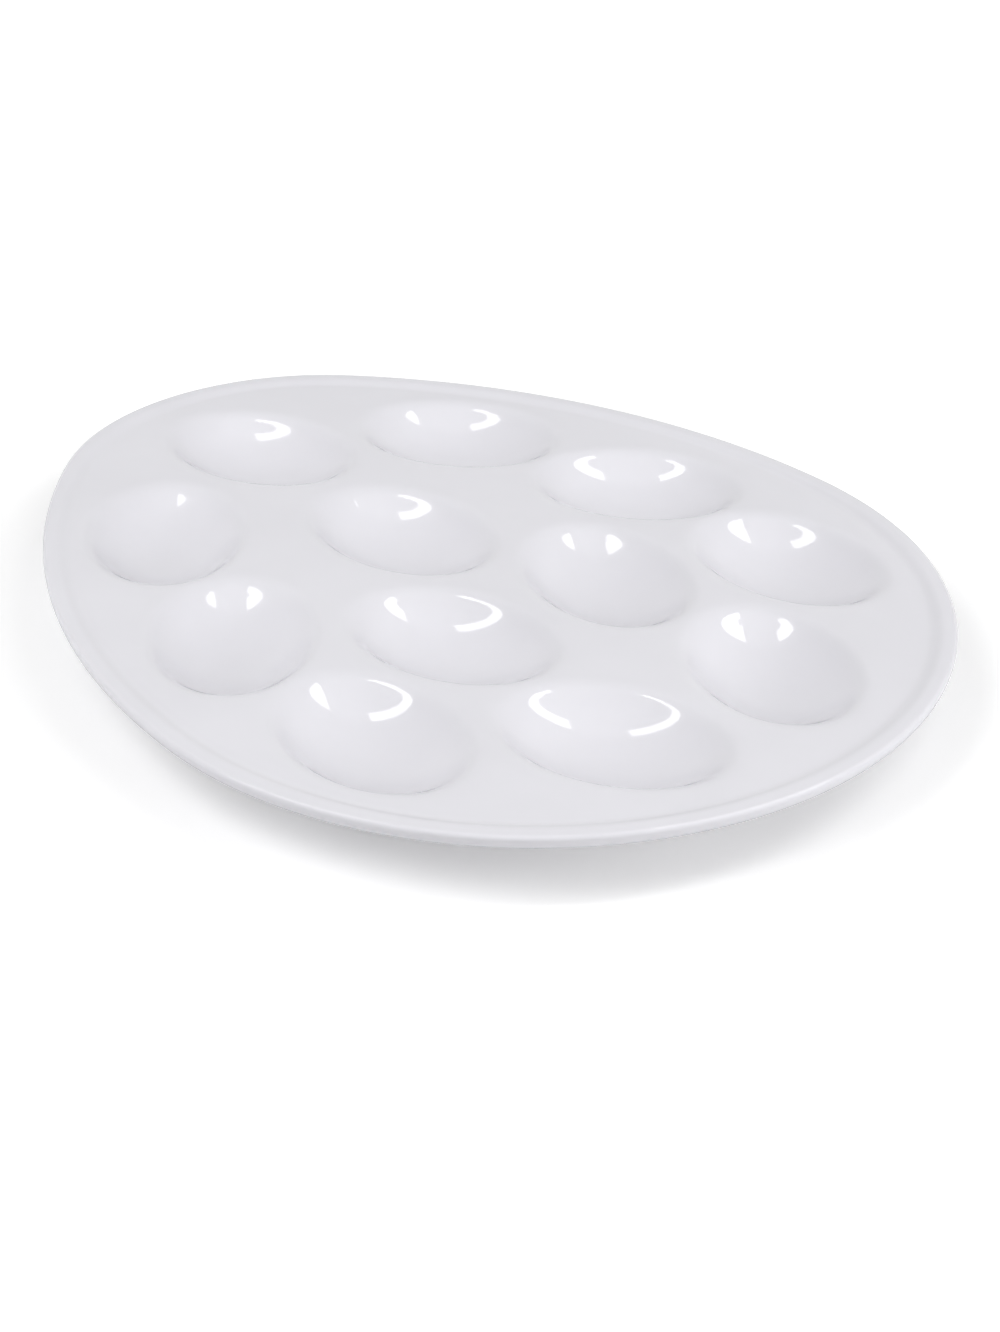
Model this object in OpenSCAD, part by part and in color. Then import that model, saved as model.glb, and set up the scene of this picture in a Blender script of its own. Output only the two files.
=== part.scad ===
// Deviled egg platter: an egg-shaped ceramic tray with twelve oval wells, a low raised lip and a foot ring.
// All lengths are in millimetres. The platter stands on z = 0, its long axis is X and its small end is at +X.

/* [Platter] */
// Overall length, over the lip
platter_len = 305; // [280:1:340]
// Overall width, over the lip
platter_w = 246; // [230:1:270]
// Radius of the small end
tip_r = 80; // [70:1:95]
// Thickness of the deck and of the lip
plate_t = 4.6; // [4:0.1:6]

/* [Lip] */
// Width of the raised lip, from the edge to the foot of its inner slope
lip_w = 8; // [7:0.5:9]
// Width of the lip's inner slope
lip_slope_w = 3.4; // [2:0.1:4]
// Height of the lip above the deck
lip_rise = 1.1; // [0.6:0.1:2]

/* [Wells] */
// Length of a well at the deck, without its eased edge
well_len = 64.6; // [58:0.2:66]
// Width of a well at the deck, without its eased edge
well_w = 46; // [42:0.5:47]
// Depth of a well below the deck
well_depth = 12; // [10:0.5:14]
// How far the eased edge of a well stands out beyond its bowl
ease_w = 1.2; // [0.6:0.1:1.5]
// Slope of the eased edge where it meets the deck, in degrees
ease_slope = 26; // [20:1:34]
// Thickness of the wall under a well
well_wall = 4.4; // [3.5:0.1:6]

/* [Foot ring] */
// Distance from the platter's edge to the outside of the foot ring
foot_inset = 36; // [32:1:42]
// Thickness of the foot ring where it meets the platter
foot_t = 6; // [5:0.25:8]
// Width of the flat face that the foot ring stands on
foot_flat_w = 4.4; // [3:0.1:4.8]
// Height of the foot ring's narrower step above that face
foot_step_h = 0.8; // [0.5:0.1:2]
// Height of the foot ring below the lowest well
foot_clear = 3; // [2.5:0.25:5]

/* [Hidden] */
$fn = 180;

// Where the wells lie: place along the half-length, place along the half-width, and turn in degrees.
// The first five stand on both sides of the long axis, and the last two stand on it.
pair_place_shares = [
    [0.466, 0.461, -34],
    [0.045, 0.624, -37],
    [-0.383, 0.633, -3],
    [-0.653, 0.24, 24],
    [-0.209, 0.235, 16]
];
middle_place_shares = [
    [0.183, 0, 6],
    [0.672, 0, 18]
];

// Number of straight steps in the lip's slope
slope_steps = 8;
// Number of straight steps round the lip's edge
edge_steps = 10;
// Number of straight steps along each arc of the foot ring and of the deck's hidden edge
arc_steps = 36;
// How far a cutter runs on past the faces that it opens
overrun = 1;
// How far the lip's ring of material runs on inward as flat deck, to be joined to the middle of the deck
deck_lap = 3;

// Outline of the platter: a half circle at the large end, two long side arcs and an arc round the small end
half_len = platter_len / 2;
half_w = platter_w / 2;
blunt_x = half_w - half_len;
tip_x = half_len - tip_r;
centre_gap = tip_x - blunt_x;
side_r = (centre_gap * centre_gap + half_w * half_w - tip_r * tip_r) / (2 * (half_w - tip_r));
side_y = side_r - half_w;
tip_turn = atan2(side_y, centre_gap);

// Heights
well_bottom_z = foot_clear + well_wall;
deck_z = well_bottom_z + well_depth;
deck_under_z = deck_z - plate_t;
lip_z = deck_z + lip_rise;

// Each arc of the outline: centre, radius, first angle and sweep
function outline_arcs() = [
    [[blunt_x, 0], half_w, 90, 180],
    [[blunt_x, side_y], side_r, 270, 90 - tip_turn],
    [[tip_x, 0], tip_r, -tip_turn, 2 * tip_turn],
    [[blunt_x, -side_y], side_r, tip_turn, 90 - tip_turn]
];

// Points of the outline moved inward by inset
function outline_points(inset) = [
    for (arc = outline_arcs())
        for (step = [0:arc_steps - 1])
            let (turn = arc[2] + arc[3] * step / arc_steps)
                arc[0] + (arc[1] - inset) * [cos(turn), sin(turn)]
];

// Height of the lip's top above the deck, at a distance in from the edge
function lip_height(inset) =
    let (run = min(max((inset - lip_w + lip_slope_w) / lip_slope_w, 0), 1))
        lip_rise * (1 + cos(180 * run)) / 2;

// Sweeps a section round the outline. In the section, x = 0 is the platter's edge and -x runs inward.
module along_outline() {
    for (arc = outline_arcs())
        translate(arc[0])
            rotate(arc[2])
                rotate_extrude(angle = arc[3])
                    translate([arc[1], 0])
                        children();
}

// Puts a shape at each well, turned as the well is, at deck height
module at_wells() {
    for (place = pair_place_shares)
        for (side = [-1, 1])
            translate([place[0] * half_len, side * place[1] * half_w, deck_z])
                rotate(side * place[2])
                    children();
    for (place = middle_place_shares)
        translate([place[0] * half_len, place[1] * half_w, deck_z])
            rotate(place[2])
                children();
}

// A flat ring that follows the outline, from one distance in from the edge to another
module ring_layer(inset, ring_w, height) {
    linear_extrude(height)
        difference() {
            polygon(outline_points(inset));
            polygon(outline_points(inset + ring_w));
        }
}

// Section of the lip: a strip as thick as the deck, raised towards a round edge
module lip_section() {
    edge_r = plate_t / 2;
    round_turns = [for (step = [0:edge_steps]) 90 + 180 * step / edge_steps];
    slope_insets = [for (step = [0:slope_steps]) lip_w - lip_slope_w + lip_slope_w * step / slope_steps];
    insets = concat(slope_insets, [lip_w + 2 * deck_lap]);
    last = len(insets) - 1;
    polygon(concat(
        [for (i = [last:-1:0]) [-insets[i], deck_z + lip_height(insets[i])]],
        [for (turn = round_turns) [-edge_r - edge_r * cos(turn), lip_z - edge_r + edge_r * sin(turn)]],
        [for (inset = insets) [-inset, deck_under_z + lip_height(inset)]]
    ));
}

// A bowl below the deck, bounded by an arc turned about an axis along X above the deck.
// Grown by wall, it is the parallel surface outside that bowl. It is cut off flat at low_z and top_z.
module bowl(bowl_len, bowl_w, depth, wall, low_z, top_z) {
    cross_r = (bowl_w * bowl_w / 4 + depth * depth) / (2 * depth);
    long_r = (bowl_len * bowl_len / 4 + depth * depth) / (2 * depth);
    intersection() {
        translate([0, 0, cross_r - depth])
            rotate([0, 90, 0])
                rotate_extrude()
                    intersection() {
                        translate([cross_r - long_r, 0])
                            circle(r = long_r + wall);
                        translate([0, -bowl_len])
                            square([2 * cross_r, 2 * bowl_len]);
                    }
        translate([-bowl_len, -bowl_w, low_z])
            cube([2 * bowl_len, 2 * bowl_w, top_z - low_z]);
    }
}

// The hollow of a well: the bowl, and a shallower one just wider that eases its edge
module well_hollow() {
    eased_w = well_w + 2 * ease_w;
    eased_depth = eased_w / 2 * tan(ease_slope / 2);
    bowl(well_len, well_w, well_depth, 0, -well_depth - overrun, lip_rise + overrun);
    bowl(well_len + 2 * ease_w, eased_w, eased_depth, 0, -well_depth - overrun, lip_rise + overrun);
}

// The outside of a well's wall, from its lowest point up to the middle of the deck's thickness
module well_bulge() {
    bowl(well_len, well_w, well_depth, well_wall, -well_depth - well_wall - overrun, -plate_t / 2);
}

// Tray: deck, lip and the twelve wells, one glazed moulding
module platter_body() {
    color([0.89, 0.89, 0.91])
        difference() {
            union() {
                translate([0, 0, deck_under_z])
                    linear_extrude(plate_t)
                        polygon(outline_points(lip_w + deck_lap));
                along_outline()
                    lip_section();
                at_wells()
                    well_bulge();
            }
            at_wells()
                well_hollow();
        }
}

// Foot ring: stands the tray clear of its wells, fitted round their undersides, with a bare flat face below
module foot_ring() {
    color([0.82, 0.79, 0.74])
        difference() {
            union() {
                ring_layer(foot_inset + (foot_t - foot_flat_w) / 2, foot_flat_w, foot_step_h);
                translate([0, 0, foot_step_h])
                    ring_layer(foot_inset, foot_t, deck_under_z - foot_step_h);
            }
            at_wells()
                well_bulge();
        }
}

platter_body();
foot_ring();
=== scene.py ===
"""Deviled egg platter: a white glazed tray with twelve oval wells, standing on a bare foot ring.

Lengths are in metres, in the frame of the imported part: +X towards the small end, +Z up, z = 0 at the foot.
"""
from math import atan2, cos, pi, radians, sin

import bpy
import numpy as np
from mathutils import Matrix, Vector


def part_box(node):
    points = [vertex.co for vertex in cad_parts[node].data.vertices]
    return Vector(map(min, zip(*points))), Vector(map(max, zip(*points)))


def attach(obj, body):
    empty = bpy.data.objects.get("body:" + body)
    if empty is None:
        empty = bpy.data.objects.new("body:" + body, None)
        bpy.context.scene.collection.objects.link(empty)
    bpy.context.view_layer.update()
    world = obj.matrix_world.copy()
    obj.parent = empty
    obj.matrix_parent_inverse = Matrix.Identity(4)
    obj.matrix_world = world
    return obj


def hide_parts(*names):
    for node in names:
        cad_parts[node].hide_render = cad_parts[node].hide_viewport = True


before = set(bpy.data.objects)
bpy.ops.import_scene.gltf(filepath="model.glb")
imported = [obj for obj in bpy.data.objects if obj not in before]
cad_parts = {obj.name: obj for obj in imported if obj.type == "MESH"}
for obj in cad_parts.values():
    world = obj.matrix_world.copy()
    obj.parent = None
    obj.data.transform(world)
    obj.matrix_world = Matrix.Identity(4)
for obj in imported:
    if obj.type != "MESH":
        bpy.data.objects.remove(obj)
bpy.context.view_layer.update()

MM = 0.001

# The tray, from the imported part
tray_low, tray_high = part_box("platter_body")
ring_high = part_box("foot_ring")[1]
HALF_LEN = (tray_high[0] - tray_low[0]) / 2
HALF_W = (tray_high[1] - tray_low[1]) / 2
LIP_Z = tray_high[2]
RING_INSET = HALF_LEN - ring_high[0]

# Sizes of the tray that its box doesn't give
TIP_R = 80 * MM
PLATE_T = 4.6 * MM
LIP_W = 8 * MM
LIP_SLOPE_W = 4.4 * MM
LIP_RISE = 1.1 * MM
DECK_Z = LIP_Z - LIP_RISE
DECK_UNDER_Z = DECK_Z - PLATE_T

# Section of a well: half sizes at the deck, depth, how flat its floor is, and how softly its edge rolls over
WELL_HALF_LEN = 32.4 * MM
WELL_HALF_W = 23.4 * MM
WELL_DEPTH = 12 * MM
WELL_POWER = 2.3
WELL_ROLL = 1 * MM
# The bulge under a well: how much wider it is all round, its wall under the floor, and its soft edge
BULGE_OUT = 3 * MM
BULGE_WALL = 4.4 * MM
BULGE_ROLL = 1.8 * MM
# The lip's edge: how far its tight rounding reaches above, and how far in its wide rounding reaches below
EDGE_TOP = 1.2 * MM
EDGE_UNDER = 2.6 * MM

# Place along the half-length, place along the half-width, and turn in degrees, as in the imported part
PAIR_PLACE_SHARES = [
    (0.466, 0.461, -34),
    (0.045, 0.624, -37),
    (-0.383, 0.633, -3),
    (-0.653, 0.24, 24),
    (-0.209, 0.235, 16),
]
MIDDLE_PLACE_SHARES = [(0.183, 0, 6), (0.672, 0, 18)]

# Foot ring: its width, the width of its flat face, and the roundings below and where it meets the tray
RING_W = 6 * MM
RING_FLAT_W = 4.4 * MM
RING_CORNER = 0.8 * MM
RING_FILLET = 2 * MM
# The most of the ring's height that its upper rounding takes
RING_FILLET_SHARE = 0.7
# How far the ring's hidden top stands inside the tray
RING_SUNK = 0.8 * MM

# Mesh steps: stations round the outline, and rings across the top and the underside
STATIONS = 760
DECK_RINGS = 104
UNDER_RINGS = 60
# The rings close in on this place along the half-length
RINGS_MIDDLE_SHARE = -0.06
# The band along the edge that has rows of its own, and the rows in it and round the lip's edge
BAND_W = 12 * MM
BAND_ROWS = 14
EDGE_ROWS = 16
# Steps in the foot ring's upper and lower roundings
FILLET_STEPS = 5
CORNER_STEPS = 6
# Beyond this many rolls above or below a well's edge, the roll no longer shows
ROLL_LIMIT = 60

# Glaze: its darker and lighter clouds, and its least and greatest roughness. Here and for the foot ring, a
# SCALE is how often a noise repeats to the metre.
GLAZE_DARK = (0.742, 0.736, 0.775)
GLAZE_LIGHT = (0.768, 0.762, 0.802)
GLAZE_ROUGHNESS = (0.035, 0.06)
GLAZE_IOR = 1.5
CLOUD_SCALE = 26
SHINE_SCALE = 90
# Slow ripples in the glaze, and the fine orange peel over them
RIPPLE_SCALE = 38
RIPPLE_STRENGTH = 1
RIPPLE_HEIGHT = 0.06 * MM
PEEL_SCALE = 900
PEEL_STRENGTH = 0.5
PEEL_HEIGHT = 0.004 * MM
# The part of a noise's range that holds most of its values
NOISE_SPAN = (0.3, 0.7)

# Bare clay of the foot ring: its darker and lighter grains, and how high they stand
CLAY_DARK = (0.56, 0.52, 0.45)
CLAY_LIGHT = (0.7, 0.66, 0.58)
CLAY_ROUGHNESS = 0.85
GRAIN_SCALE = 1400
GRAIN_FINE_SHARE = 0.7
GRAIN_SPAN = (0.35, 0.65)
GRAIN_STRENGTH = 0.4
GRAIN_HEIGHT = 0.04 * MM
# Glaze of the foot ring: it begins between the heights of GLAZE_LINE, plus a wavering of up to WAVER_HEIGHT
FOOT_GLAZE = (0.755, 0.75, 0.79)
FOOT_GLAZE_ROUGHNESS = 0.12
GLAZE_LINE = (0.3 * MM, 0.75 * MM)
WAVER_SCALE = 160
WAVER_HEIGHT = 1.2 * MM

# The photograph's view: the way the camera looks, in degrees, and the lens for a 36 mm long side
CAMERA_AT = Vector((-500.2, 407.4, 360.3)) * MM
LOOK_AZIMUTH = -40.22
LOOK_DOWN = 30.25
CAMERA_ROLL = 0.6
SENSOR = 36
LENS = 66.64

# The floor: its half width and its grey. Its own light to the camera is FLOOR_LIFT near the platter, and
# rises to white between two distances.
FLOOR_HALF = 12
FLOOR_GREY = 0.9
FLOOR_LIFT = 0.24
FLOOR_NEAR = 0.16
FLOOR_FAR = 0.5
# Brightness of the room, where 1 is white
AMBIENT = 0.12

# Broad lights that the glaze doesn't reflect, all at one distance. For each: its azimuth, counted to the left
# from the way the camera looks, and its elevation, in degrees; its width and height; and its brightness,
# where 1 is white.
SOFT_BOX_AT = 1.3
SOFT_BOXES = {
    "left_low": (95, 18, 0.5, 0.5, 3.25),
    "left_high": (118, 50, 0.8, 0.65, 3.15),
    "right_low": (240, 18, 0.9, 0.5, 4.9),
    "right_high": (270, 45, 0.5, 0.5, 2),
}
# Lights overhead that the glaze reflects, at one height. For each: how far left and how far ahead it hangs,
# and its width and depth, as shares of that height; its turn in degrees; and its brightness.
STRIP_AT = 1.2
STRIP_SHARES = {
    "left_strip": (0.84, -0.11, 1.1, 0.12, 5, 7),
    "right_strip": (-0.74, 0, 0.88, 0.17, 6, 7),
    "ceiling": (0, -0.53, 2, 1.15, 0, 0.45),
}


def well_places():
    """Centre and turn of every well: x, y, angle in radians."""
    places = []
    for along, across, turn in PAIR_PLACE_SHARES:
        for side in (1, -1):
            places.append((along * HALF_LEN, side * across * HALF_W, side * radians(turn)))
    for along, across, turn in MIDDLE_PLACE_SHARES:
        places.append((along * HALF_LEN, across * HALF_W, radians(turn)))
    return places


def outline(stations):
    """Points evenly spaced round the four arcs of the outline, and the outward direction at each."""
    blunt_x = HALF_W - HALF_LEN
    tip_x = HALF_LEN - TIP_R
    gap = tip_x - blunt_x
    side_r = (gap * gap + HALF_W * HALF_W - TIP_R * TIP_R) / (2 * (HALF_W - TIP_R))
    side_y = side_r - HALF_W
    tip_turn = atan2(side_y, gap)
    # centre, radius, first angle and sweep of each arc
    arcs = [
        (tip_x, 0, TIP_R, -tip_turn, 2 * tip_turn),
        (blunt_x, -side_y, side_r, tip_turn, pi / 2 - tip_turn),
        (blunt_x, 0, HALF_W, pi / 2, pi),
        (blunt_x, side_y, side_r, 3 * pi / 2, pi / 2 - tip_turn),
    ]
    lengths = np.array([arc[2] * arc[4] for arc in arcs])
    starts = np.concatenate([[0], np.cumsum(lengths)])
    run = np.arange(stations) / stations * starts[-1]
    which = np.searchsorted(starts, run, side="right") - 1
    table = np.array(arcs)[which]
    angle = table[:, 3] + (run - starts[which]) / table[:, 2]
    outward = np.stack([np.cos(angle), np.sin(angle)], 1)
    return table[:, :2] + table[:, 2:3] * outward, outward


def well_field(xy, grow, depth, roll):
    """How far the wells, grown all round, dip below the deck at each point; roll is how softly they begin."""
    total = np.zeros(len(xy))
    for x, y, turn in well_places():
        along = (xy[:, 0] - x) * cos(turn) + (xy[:, 1] - y) * sin(turn)
        across = (xy[:, 1] - y) * cos(turn) - (xy[:, 0] - x) * sin(turn)
        reach = np.hypot(along / (WELL_HALF_LEN + grow), across / (WELL_HALF_W + grow))
        total += np.exp(np.clip(depth * (1 - reach ** WELL_POWER) / roll, -ROLL_LIMIT, ROLL_LIMIT))
    return roll * np.log1p(total)


def lip_height(inset):
    """Height of the lip over the deck, at a distance in from the edge."""
    run = np.clip((inset - LIP_W + LIP_SLOPE_W) / LIP_SLOPE_W, 0, 1)
    return LIP_RISE * (1 - run * run * (3 - 2 * run))


def top_z(xy, inset):
    return DECK_Z + lip_height(inset) - well_field(xy, 0, WELL_DEPTH, WELL_ROLL)


def under_z(xy, inset):
    bulge_depth = WELL_DEPTH + BULGE_WALL - PLATE_T
    return DECK_UNDER_Z + lip_height(inset) - well_field(xy, BULGE_OUT, bulge_depth, BULGE_ROLL)


def grid_faces(rows, columns):
    """Quads between rows of points that each close round on themselves."""
    row = np.arange(rows - 1)[:, None] * columns
    here = np.arange(columns)[None]
    there = (here + 1) % columns
    quads = np.stack([row + columns + here, row + columns + there, row + there, row + here], 2)
    return quads.reshape(-1, 4).tolist()


def make_object(name, points, faces):
    mesh = bpy.data.meshes.new(name)
    mesh.from_pydata(points.tolist(), [], faces)
    mesh.update()
    mesh.polygons.foreach_set("use_smooth", [True] * len(mesh.polygons))
    obj = bpy.data.objects.new(name, mesh)
    bpy.context.scene.collection.objects.link(obj)
    return obj


def build_tray():
    """One closed skin: the top from its middle out to the lip, round the edge, and back underneath."""
    edge, outward = outline(STATIONS)
    middle = np.array([RINGS_MIDDLE_SHARE * HALF_LEN, 0.0])
    inner = edge - outward * BAND_W
    rows = []

    def add(xy, z):
        rows.append(np.column_stack([xy, z]))

    def band(insets, height):
        for inset in insets:
            xy = edge - outward * inset
            add(xy, height(xy, np.full(len(xy), inset)))

    far = np.full(STATIONS, BAND_W)
    for ring in range(1, DECK_RINGS):
        xy = middle + (inner - middle) * ring / DECK_RINGS
        add(xy, top_z(xy, far))
    band(np.linspace(BAND_W, EDGE_TOP, BAND_ROWS), top_z)
    for step in range(1, EDGE_ROWS):
        turn = pi * step / EDGE_ROWS
        reach, drop = (EDGE_TOP, EDGE_TOP) if cos(turn) > 0 else (EDGE_UNDER, PLATE_T - EDGE_TOP)
        xy = edge - outward * (reach - reach * sin(turn))
        add(xy, np.full(STATIONS, LIP_Z - EDGE_TOP + drop * cos(turn)))
    band(np.linspace(EDGE_UNDER, BAND_W, BAND_ROWS), under_z)
    for ring in range(UNDER_RINGS - 1, 0, -1):
        xy = middle + (inner - middle) * ring / UNDER_RINGS
        add(xy, under_z(xy, far))

    points = np.concatenate(rows)
    faces = grid_faces(len(rows), STATIONS)
    top_middle, under_middle = len(points), len(points) + 1
    centre = middle[None]
    deep = np.array([BAND_W])
    caps = np.array([[*middle, top_z(centre, deep)[0]], [*middle, under_z(centre, deep)[0]]])
    points = np.concatenate([points, caps])
    last = (len(rows) - 1) * STATIONS
    for i in range(STATIONS):
        j = (i + 1) % STATIONS
        faces.append([top_middle, i, j])
        faces.append([under_middle, last + j, last + i])
    return make_object("glazed_tray", points, faces)


def build_ring():
    """The foot ring: a flat face with rounded corners, sides that flare into the tray, and a hidden top."""
    edge, outward = outline(STATIONS)

    def under(inset):
        xy = edge - outward * inset
        return xy, under_z(xy, np.full(len(xy), inset))

    def side(at, way):
        """Rows from inside the tray down one side. way is -1 towards the edge and 1 towards the middle."""
        made = []
        xy, z = under(at + way * RING_FILLET)
        made.append(np.column_stack([xy, z + RING_SUNK]))
        _, low = under(at)
        fillet = np.minimum(RING_FILLET, RING_FILLET_SHARE * (low - RING_CORNER))
        for step in range(FILLET_STEPS + 1):
            turn = pi / 2 * (1 - step / FILLET_STEPS)
            inset = at + way * fillet * (1 - cos(turn))
            xy = edge - outward * inset[:, None]
            z = under_z(xy, inset) - fillet * (1 - sin(turn))
            made.append(np.column_stack([xy, z]))
        draft = (RING_W - RING_FLAT_W) / 2
        for step in range(CORNER_STEPS + 1):
            turn = pi / 2 * step / CORNER_STEPS
            inset = at - way * draft * (1 - cos(turn))
            z = RING_CORNER * (1 - sin(turn))
            made.append(np.column_stack([edge - outward * inset, np.full(STATIONS, z)]))
        return made

    outer = side(RING_INSET, -1)
    inner = side(RING_INSET + RING_W, 1)
    rows = outer + inner[::-1]
    points = np.concatenate(rows)
    faces = grid_faces(len(rows), STATIONS)
    last = (len(rows) - 1) * STATIONS
    for i in range(STATIONS):
        j = (i + 1) % STATIONS
        faces.append([i, j, last + j, last + i])
    return make_object("bare_foot_ring", points, faces)


class Nodes:
    """Adds and joins shader nodes in one material or world."""

    def __init__(self, owner):
        owner.use_nodes = True
        self.tree = owner.node_tree
        self.tree.nodes.clear()

    def add(self, kind, **values):
        node = self.tree.nodes.new(kind)
        for key, value in values.items():
            setattr(node, key, value)
        return node

    def join(self, source, target):
        self.tree.links.new(source, target)


def noise(nodes, scale, detail, roughness=0.5):
    """Noise over the object's own coordinates; detail counts its finer layers, and roughness their share."""
    place = nodes.add("ShaderNodeTexCoord")
    texture = nodes.add("ShaderNodeTexNoise")
    texture.inputs["Scale"].default_value = scale
    texture.inputs["Detail"].default_value = detail
    texture.inputs["Roughness"].default_value = roughness
    nodes.join(place.outputs["Object"], texture.inputs["Vector"])
    return texture.outputs["Fac"]


def ramp(nodes, source, span, first, last):
    """Turns a value within the span into a colour between first and last."""
    node = nodes.add("ShaderNodeValToRGB")
    node.color_ramp.elements[0].position = span[0]
    node.color_ramp.elements[1].position = span[1]
    node.color_ramp.elements[0].color = (*first, 1)
    node.color_ramp.elements[1].color = (*last, 1)
    nodes.join(source, node.inputs["Fac"])
    return node.outputs["Color"]


def value_range(nodes, source, span, first, last):
    """Turns a value within the span into one between first and last."""
    node = nodes.add("ShaderNodeMapRange")
    node.inputs["From Min"].default_value = span[0]
    node.inputs["From Max"].default_value = span[1]
    node.inputs["To Min"].default_value = first
    node.inputs["To Max"].default_value = last
    nodes.join(source, node.inputs["Value"])
    return node.outputs["Result"]


def bump(nodes, source, strength, distance, under=None):
    """Turns a height into a tilt of the surface, over another bump if there is one."""
    node = nodes.add("ShaderNodeBump")
    node.inputs["Strength"].default_value = strength
    node.inputs["Distance"].default_value = distance
    nodes.join(source, node.inputs["Height"])
    if under is not None:
        nodes.join(under, node.inputs["Normal"])
    return node.outputs["Normal"]


def glaze_material():
    """Cool white gloss glaze: faint clouding of its colour, slow ripples and fine orange peel."""
    material = bpy.data.materials.new("white_glaze")
    nodes = Nodes(material)
    surface = nodes.add("ShaderNodeBsdfPrincipled")
    output = nodes.add("ShaderNodeOutputMaterial")
    nodes.join(surface.outputs["BSDF"], output.inputs["Surface"])
    colour = ramp(nodes, noise(nodes, CLOUD_SCALE, detail=3), NOISE_SPAN, GLAZE_DARK, GLAZE_LIGHT)
    nodes.join(colour, surface.inputs["Base Color"])
    shine = value_range(nodes, noise(nodes, SHINE_SCALE, detail=4), NOISE_SPAN, *GLAZE_ROUGHNESS)
    nodes.join(shine, surface.inputs["Roughness"])
    ripples = bump(nodes, noise(nodes, RIPPLE_SCALE, detail=2), RIPPLE_STRENGTH, RIPPLE_HEIGHT)
    peel = bump(nodes, noise(nodes, PEEL_SCALE, detail=2), PEEL_STRENGTH, PEEL_HEIGHT, ripples)
    nodes.join(peel, surface.inputs["Normal"])
    surface.inputs["IOR"].default_value = GLAZE_IOR
    return material


def clay_material():
    """Fired clay wiped clean of glaze on the face that the ring stands on, and glazed above it."""
    material = bpy.data.materials.new("bare_clay")
    nodes = Nodes(material)
    surface = nodes.add("ShaderNodeBsdfPrincipled")
    output = nodes.add("ShaderNodeOutputMaterial")
    nodes.join(surface.outputs["BSDF"], output.inputs["Surface"])
    place = nodes.add("ShaderNodeTexCoord")
    split = nodes.add("ShaderNodeSeparateXYZ")
    nodes.join(place.outputs["Object"], split.inputs["Vector"])
    waver = nodes.add("ShaderNodeMath", operation="MULTIPLY_ADD")
    nodes.join(noise(nodes, WAVER_SCALE, detail=3), waver.inputs[0])
    waver.inputs[1].default_value = -WAVER_HEIGHT
    nodes.join(split.outputs["Z"], waver.inputs[2])
    glazed = value_range(nodes, waver.outputs["Value"], GLAZE_LINE, 0, 1)
    grain = noise(nodes, GRAIN_SCALE, detail=4, roughness=GRAIN_FINE_SHARE)
    mix = nodes.add("ShaderNodeMix", data_type="RGBA")
    nodes.join(glazed, mix.inputs["Factor"])
    nodes.join(ramp(nodes, grain, GRAIN_SPAN, CLAY_DARK, CLAY_LIGHT), mix.inputs["A"])
    mix.inputs["B"].default_value = (*FOOT_GLAZE, 1)
    nodes.join(mix.outputs["Result"], surface.inputs["Base Color"])
    shine = value_range(nodes, glazed, (0, 1), CLAY_ROUGHNESS, FOOT_GLAZE_ROUGHNESS)
    nodes.join(shine, surface.inputs["Roughness"])
    nodes.join(bump(nodes, grain, GRAIN_STRENGTH, GRAIN_HEIGHT), surface.inputs["Normal"])
    return material


def floor_material():
    """Pale floor that shows white to the camera and keeps the platter's shadow."""
    material = bpy.data.materials.new("studio_floor")
    nodes = Nodes(material)
    diffuse = nodes.add("ShaderNodeBsdfDiffuse")
    diffuse.inputs["Color"].default_value = (FLOOR_GREY, FLOOR_GREY, FLOOR_GREY, 1)
    lift = nodes.add("ShaderNodeEmission")
    path = nodes.add("ShaderNodeLightPath")
    place = nodes.add("ShaderNodeTexCoord")
    away = nodes.add("ShaderNodeVectorMath", operation="LENGTH")
    nodes.join(place.outputs["Object"], away.inputs[0])
    level = value_range(nodes, away.outputs["Value"], (FLOOR_NEAR, FLOOR_FAR), FLOOR_LIFT, 1)
    seen = nodes.add("ShaderNodeMath", operation="MULTIPLY")
    nodes.join(path.outputs["Is Camera Ray"], seen.inputs[0])
    nodes.join(level, seen.inputs[1])
    nodes.join(seen.outputs["Value"], lift.inputs["Strength"])
    both = nodes.add("ShaderNodeAddShader")
    nodes.join(diffuse.outputs["BSDF"], both.inputs[0])
    nodes.join(lift.outputs["Emission"], both.inputs[1])
    output = nodes.add("ShaderNodeOutputMaterial")
    nodes.join(both.outputs["Shader"], output.inputs["Surface"])
    return material


def build_floor():
    mesh = bpy.data.meshes.new("floor")
    half = FLOOR_HALF
    corners = [(-half, -half, 0), (half, -half, 0), (half, half, 0), (-half, half, 0)]
    mesh.from_pydata(corners, [], [(0, 1, 2, 3)])
    obj = bpy.data.objects.new("floor", mesh)
    bpy.context.scene.collection.objects.link(obj)
    mesh.materials.append(floor_material())


def build_world():
    """White to the camera, to mirrors and to glass, and a soft even light to everything else."""
    world = bpy.data.worlds.new("studio")
    bpy.context.scene.world = world
    nodes = Nodes(world)
    background = nodes.add("ShaderNodeBackground")
    background.inputs["Color"].default_value = (1, 1, 1, 1)
    path = nodes.add("ShaderNodeLightPath")
    seen = path.outputs["Is Camera Ray"]
    for kind in ("Is Glossy Ray", "Is Transmission Ray"):
        either = nodes.add("ShaderNodeMath", operation="MAXIMUM")
        nodes.join(seen, either.inputs[0])
        nodes.join(path.outputs[kind], either.inputs[1])
        seen = either.outputs["Value"]
    level = value_range(nodes, seen, (0, 1), AMBIENT, 1)
    nodes.join(level, background.inputs["Strength"])
    output = nodes.add("ShaderNodeOutputWorld")
    nodes.join(background.outputs["Background"], output.inputs["Surface"])


def direction(azimuth, elevation):
    """Unit vector. Azimuth is counted from +X towards +Y, elevation upward, both in degrees."""
    turn, rise = radians(azimuth), radians(elevation)
    return Vector((cos(turn) * cos(rise), sin(turn) * cos(rise), sin(rise)))


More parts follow.
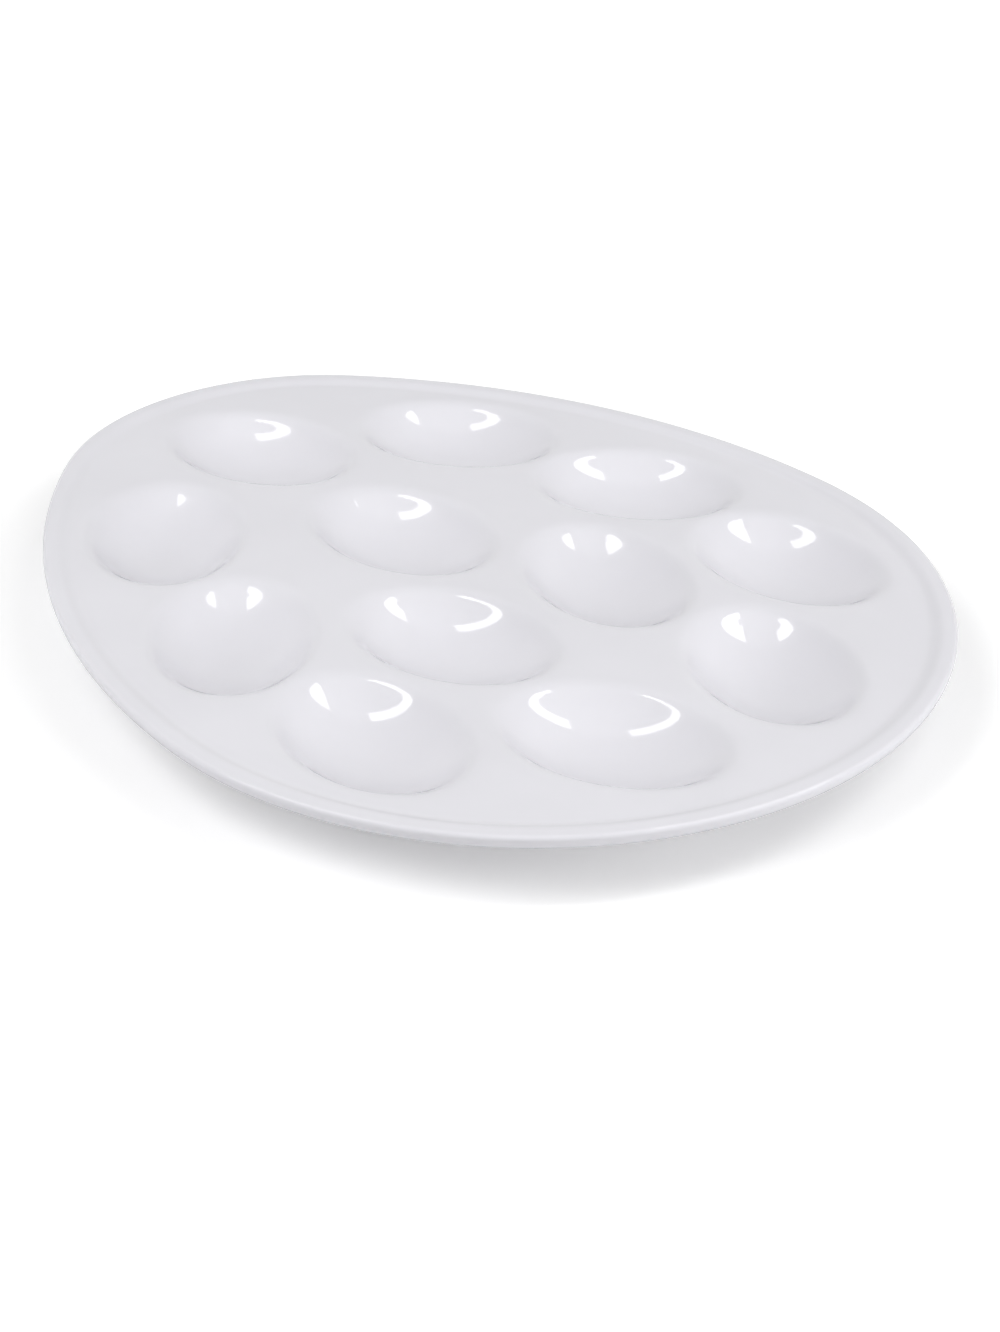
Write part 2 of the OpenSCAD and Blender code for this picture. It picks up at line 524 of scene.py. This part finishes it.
def build_camera():
    data = bpy.data.cameras.new("camera")
    data.lens = LENS
    data.sensor_width = SENSOR
    camera = bpy.data.objects.new("camera", data)
    bpy.context.scene.collection.objects.link(camera)
    forward = direction(LOOK_AZIMUTH, -LOOK_DOWN)
    turn = forward.to_track_quat("-Z", "Y").to_matrix().to_4x4()
    camera.matrix_world = Matrix.Translation(CAMERA_AT) @ turn @ Matrix.Rotation(radians(CAMERA_ROLL), 4, "Z")
    bpy.context.scene.camera = camera


def area_light(name, place, turn, width, depth, level):
    """A flat light that shines along its own -Z; level is its brightness, where 1 is white."""
    data = bpy.data.lights.new(name, "AREA")
    data.shape = "RECTANGLE"
    data.size = width
    data.size_y = depth
    data.energy = level * width * depth * pi
    obj = bpy.data.objects.new(name, data)
    obj.location = place
    obj.rotation_mode = "QUATERNION"
    obj.rotation_quaternion = turn
    bpy.context.scene.collection.objects.link(obj)
    return obj


def build_soft_box(name, azimuth, elevation, width, height, level):
    """A broad light that faces the platter and isn't seen in the glaze."""
    way = direction(LOOK_AZIMUTH + azimuth, elevation)
    box = area_light(name, way * SOFT_BOX_AT, way.to_track_quat("Z", "Y"), width, height, level)
    box.visible_glossy = False


def build_strip(name, left, ahead, width, depth, slant, level):
    """A level light over the platter that the glaze reflects."""
    ahead_way = direction(LOOK_AZIMUTH, 0)
    left_way = direction(LOOK_AZIMUTH + 90, 0)
    place = (ahead_way * ahead + left_way * left + Vector((0, 0, 1))) * STRIP_AT
    turn = Matrix.Rotation(radians(LOOK_AZIMUTH - 90 + slant), 4, "Z").to_quaternion()
    area_light(name, place, turn, width * STRIP_AT, depth * STRIP_AT, level)


def build_lights():
    for name, values in SOFT_BOXES.items():
        build_soft_box(name, *values)
    for name, values in STRIP_SHARES.items():
        build_strip(name, *values)


tray = build_tray()
tray.data.materials.append(glaze_material())
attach(tray, "root")
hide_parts("platter_body")

ring = build_ring()
ring.data.materials.append(clay_material())
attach(ring, "root")
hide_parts("foot_ring")

build_floor()
build_world()
build_lights()
build_camera()
bpy.context.scene.view_settings.view_transform = "Standard"
